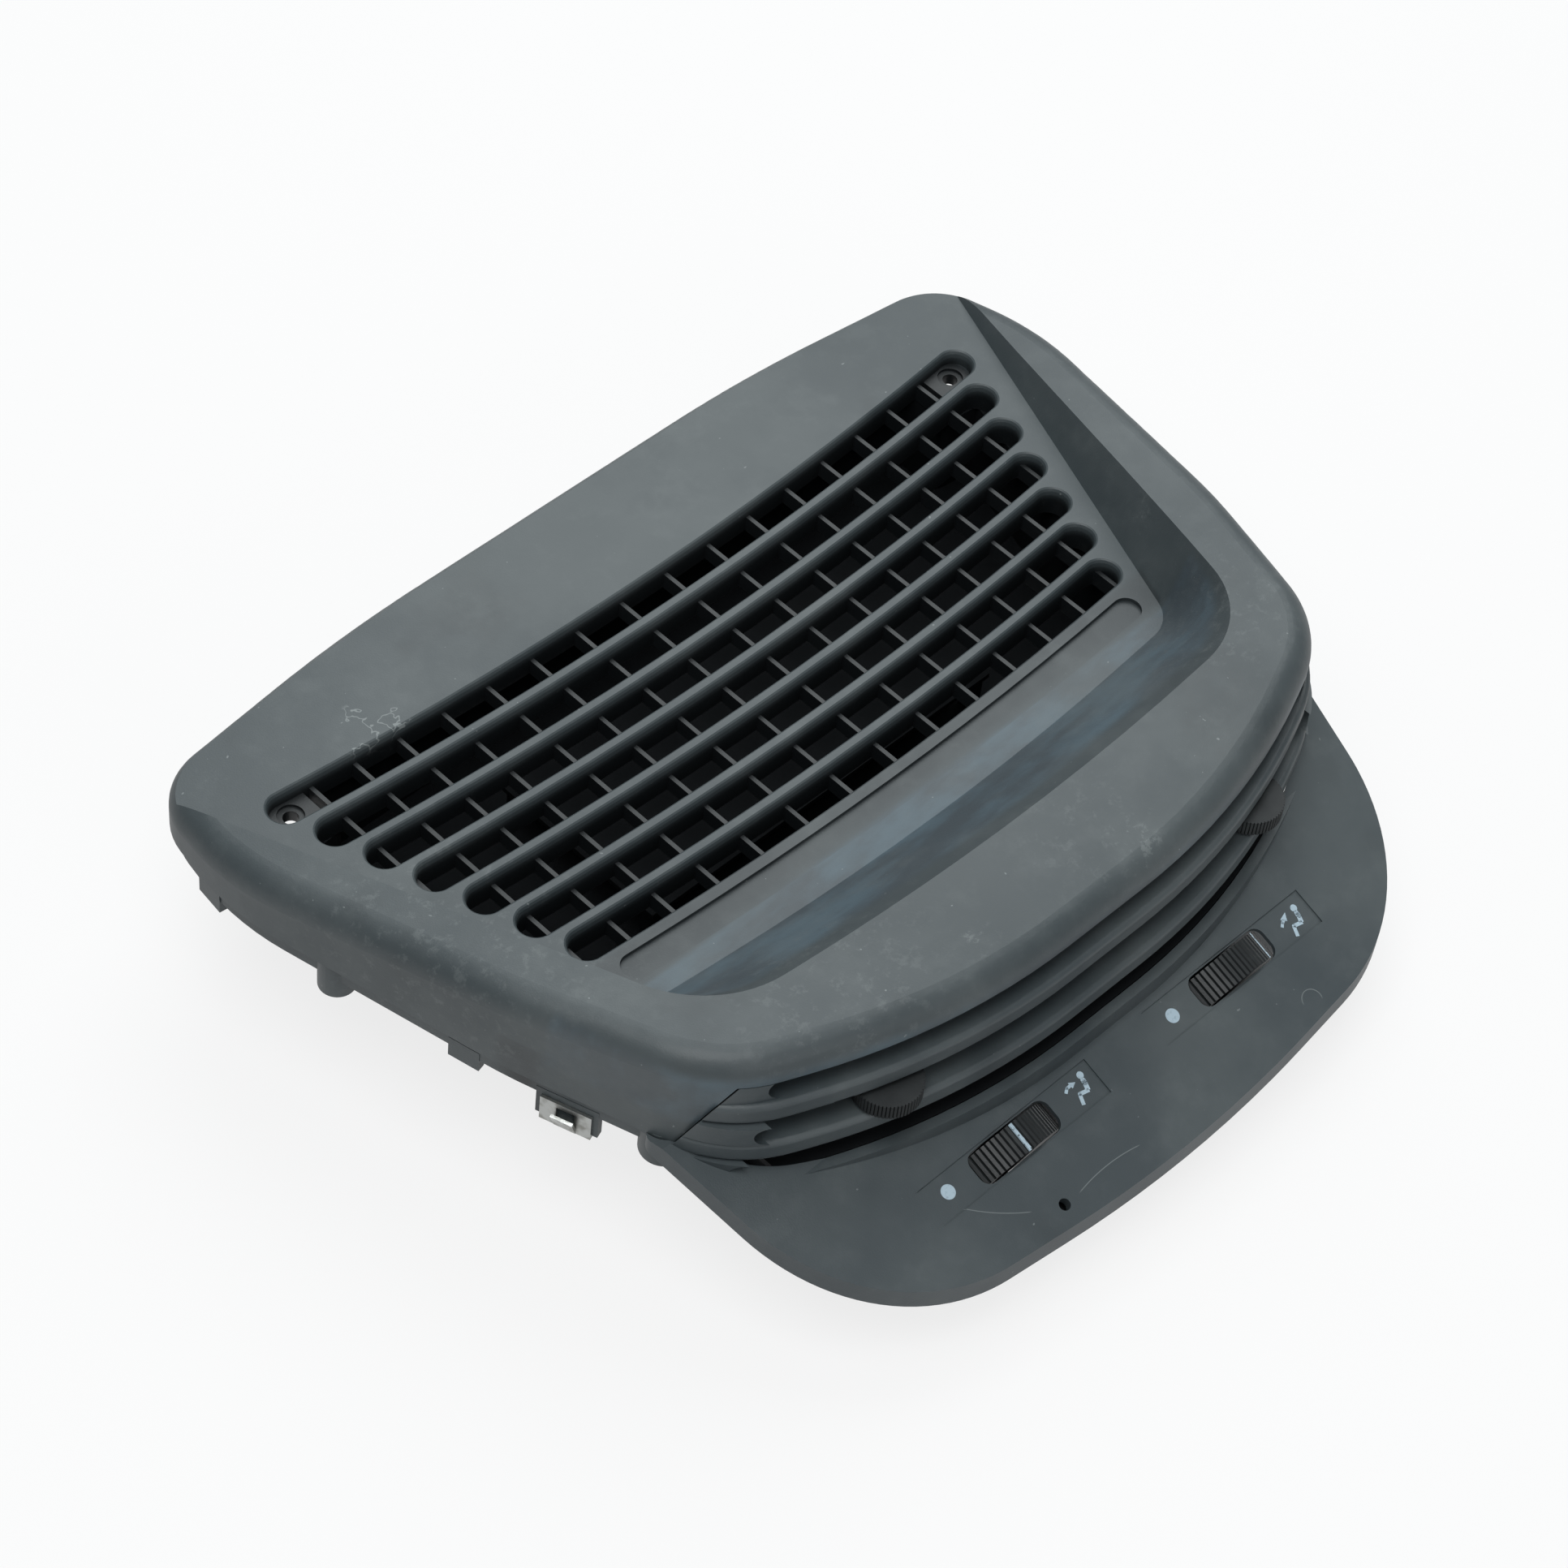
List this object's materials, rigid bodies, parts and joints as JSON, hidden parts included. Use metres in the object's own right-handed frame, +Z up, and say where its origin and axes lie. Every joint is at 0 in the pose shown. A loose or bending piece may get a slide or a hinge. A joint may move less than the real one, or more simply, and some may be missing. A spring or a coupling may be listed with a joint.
{
  "type": "dashboard air vent",
  "caption": "Centre dashboard air vent: hood with a bowed slotted demister grille over an air box, front outlets with pivoted vanes, knobs and thumbwheel-worked shutters.",
  "frame": {"origin": "middle of the bounding box in plan, on the plane the duct collars stand on", "axes": "+X across the dashboard to the right seen from the seats, +Y towards the windscreen, +Z up, normal to the grille"},
  "size_m": [0.2908, 0.2406, 0.0791],
  "materials": {
    "hood_plastic": "fine-grained matte",
    "bezel_plastic": "fine-grained matte",
    "box_plastic": "plain matte",
    "vane_plastic": "plain matte",
    "control_plastic": "fine ribbed matte",
    "foam": "open-cell foam",
    "screw_steel": "zinc plated"
  },
  "bodies": {
    "housing": {"top_cover": "hood_plastic", "front_bezel": "bezel_plastic", "outlet_box": "box_plastic", "demister_chamber": "box_plastic", "inlet_gasket": "foam", "outlet_gasket": "foam", "case_screws": "screw_steel", "spring_clips": "screw_steel", "metal_bushes": "screw_steel"},
    "left_knob": {"left_knob": "control_plastic"},
    "left_vane_1": {"left_vane_1": "vane_plastic"},
    "left_vane_2": {"left_vane_2": "vane_plastic"},
    "left_vane_3": {"left_vane_3": "vane_plastic"},
    "left_vane_4": {"left_vane_4": "vane_plastic"},
    "left_vane_5": {"left_vane_5": "vane_plastic"},
    "left_vane_link": {"left_vane_link": "vane_plastic"},
    "left_thumbwheel": {"left_thumbwheel": "control_plastic"},
    "left_rocker": {"left_rocker": "vane_plastic"},
    "left_shutter": {"left_shutter": "vane_plastic", "left_shutter_seal": "foam"},
    "right_knob": {"right_knob": "control_plastic"},
    "right_vane_1": {"right_vane_1": "vane_plastic"},
    "right_vane_2": {"right_vane_2": "vane_plastic"},
    "right_vane_3": {"right_vane_3": "vane_plastic"},
    "right_vane_4": {"right_vane_4": "vane_plastic"},
    "right_vane_5": {"right_vane_5": "vane_plastic"},
    "right_vane_link": {"right_vane_link": "vane_plastic"},
    "right_thumbwheel": {"right_thumbwheel": "control_plastic"},
    "right_rocker": {"right_rocker": "vane_plastic"},
    "right_shutter": {"right_shutter": "vane_plastic", "right_shutter_seal": "foam"}
  },
  "joints": [
    {"name": "left_knob_turn", "type": "hinge", "parent": "housing", "child": "left_knob", "pos_m": [-0.0662, -0.07217, 0.05475], "axis": [0, 0, 1], "range_deg": [-25, 25]},
    {"name": "left_vane_1_turn", "type": "hinge", "parent": "housing", "child": "left_vane_1", "pos_m": [-0.017, -0.05067, 0.054], "axis": [0, 0, 1], "range_deg": [-25, 25]},
    {"name": "left_vane_2_turn", "type": "hinge", "parent": "housing", "child": "left_vane_2", "pos_m": [-0.0334, -0.05067, 0.054], "axis": [0, 0, 1], "range_deg": [-25, 25]},
    {"name": "left_vane_3_turn", "type": "hinge", "parent": "housing", "child": "left_vane_3", "pos_m": [-0.0498, -0.05067, 0.054], "axis": [0, 0, 1], "range_deg": [-25, 25]},
    {"name": "left_vane_4_turn", "type": "hinge", "parent": "housing", "child": "left_vane_4", "pos_m": [-0.0662, -0.05067, 0.054], "axis": [0, 0, 1], "range_deg": [-25, 25]},
    {"name": "left_vane_5_turn", "type": "hinge", "parent": "housing", "child": "left_vane_5", "pos_m": [-0.0826, -0.05067, 0.054], "axis": [0, 0, 1], "range_deg": [-25, 25]},
    {"name": "left_link_slide", "type": "slide", "parent": "housing", "child": "left_vane_link", "axis": [1, 0, 0], "range_m": [-0.0026, 0.0026]},
    {"name": "left_wheel_turn", "type": "hinge", "parent": "housing", "child": "left_thumbwheel", "pos_m": [-0.0406, -0.08907, 0.01427], "axis": [0, 0.9421, 0.3355], "range_deg": [-38, 38]},
    {"name": "left_rocker_turn", "type": "hinge", "parent": "housing", "child": "left_rocker", "pos_m": [-0.015, -0.05877, 0.0183], "axis": [1, 0, 0], "range_deg": [-18.1, 18.1]},
    {"name": "left_shutter_turn", "type": "hinge", "parent": "housing", "child": "left_shutter", "pos_m": [-0.05, -0.03467, 0.0183], "axis": [1, 0, 0], "range_deg": [-33.2, 33.2]},
    {"name": "right_knob_turn", "type": "hinge", "parent": "housing", "child": "right_knob", "pos_m": [0.0662, -0.07217, 0.05475], "axis": [0, 0, 1], "range_deg": [-25, 25]},
    {"name": "right_vane_1_turn", "type": "hinge", "parent": "housing", "child": "right_vane_1", "pos_m": [0.017, -0.05067, 0.054], "axis": [0, 0, 1], "range_deg": [-25, 25]},
    {"name": "right_vane_2_turn", "type": "hinge", "parent": "housing", "child": "right_vane_2", "pos_m": [0.0334, -0.05067, 0.054], "axis": [0, 0, 1], "range_deg": [-25, 25]},
    {"name": "right_vane_3_turn", "type": "hinge", "parent": "housing", "child": "right_vane_3", "pos_m": [0.0498, -0.05067, 0.054], "axis": [0, 0, 1], "range_deg": [-25, 25]},
    {"name": "right_vane_4_turn", "type": "hinge", "parent": "housing", "child": "right_vane_4", "pos_m": [0.0662, -0.05067, 0.054], "axis": [0, 0, 1], "range_deg": [-25, 25]},
    {"name": "right_vane_5_turn", "type": "hinge", "parent": "housing", "child": "right_vane_5", "pos_m": [0.0826, -0.05067, 0.054], "axis": [0, 0, 1], "range_deg": [-25, 25]},
    {"name": "right_link_slide", "type": "slide", "parent": "housing", "child": "right_vane_link", "axis": [1, 0, 0], "range_m": [-0.0026, 0.0026]},
    {"name": "right_wheel_turn", "type": "hinge", "parent": "housing", "child": "right_thumbwheel", "pos_m": [0.0406, -0.08907, 0.01427], "axis": [0, 0.9421, 0.3355], "range_deg": [-76, 0]},
    {"name": "right_rocker_turn", "type": "hinge", "parent": "housing", "child": "right_rocker", "pos_m": [0.015, -0.05877, 0.0183], "axis": [1, 0, 0], "range_deg": [0, 36.1]},
    {"name": "right_shutter_turn", "type": "hinge", "parent": "housing", "child": "right_shutter", "pos_m": [0.05, -0.03467, 0.0183], "axis": [1, 0, 0], "range_deg": [-66.3, 0]}
  ],
  "couplings": [
    {"joint": "left_vane_1_turn", "follows": "left_knob_turn", "ratio": -1},
    {"joint": "left_vane_2_turn", "follows": "left_knob_turn", "ratio": -1},
    {"joint": "left_vane_3_turn", "follows": "left_knob_turn", "ratio": -1},
    {"joint": "left_vane_4_turn", "follows": "left_knob_turn", "ratio": -1},
    {"joint": "left_vane_5_turn", "follows": "left_knob_turn", "ratio": -1},
    {"joint": "left_link_slide", "follows": "left_knob_turn", "m_per_rad": 0.0059},
    {"joint": "left_rocker_turn", "follows": "left_wheel_turn", "ratio": 0.47368},
    {"joint": "left_shutter_turn", "follows": "left_wheel_turn", "ratio": -0.87105},
    {"joint": "right_vane_1_turn", "follows": "right_knob_turn", "ratio": -1},
    {"joint": "right_vane_2_turn", "follows": "right_knob_turn", "ratio": -1},
    {"joint": "right_vane_3_turn", "follows": "right_knob_turn", "ratio": -1},
    {"joint": "right_vane_4_turn", "follows": "right_knob_turn", "ratio": -1},
    {"joint": "right_vane_5_turn", "follows": "right_knob_turn", "ratio": -1},
    {"joint": "right_link_slide", "follows": "right_knob_turn", "m_per_rad": 0.0059},
    {"joint": "right_rocker_turn", "follows": "right_wheel_turn", "ratio": -0.47368},
    {"joint": "right_shutter_turn", "follows": "right_wheel_turn", "ratio": 0.87105}
  ]
}
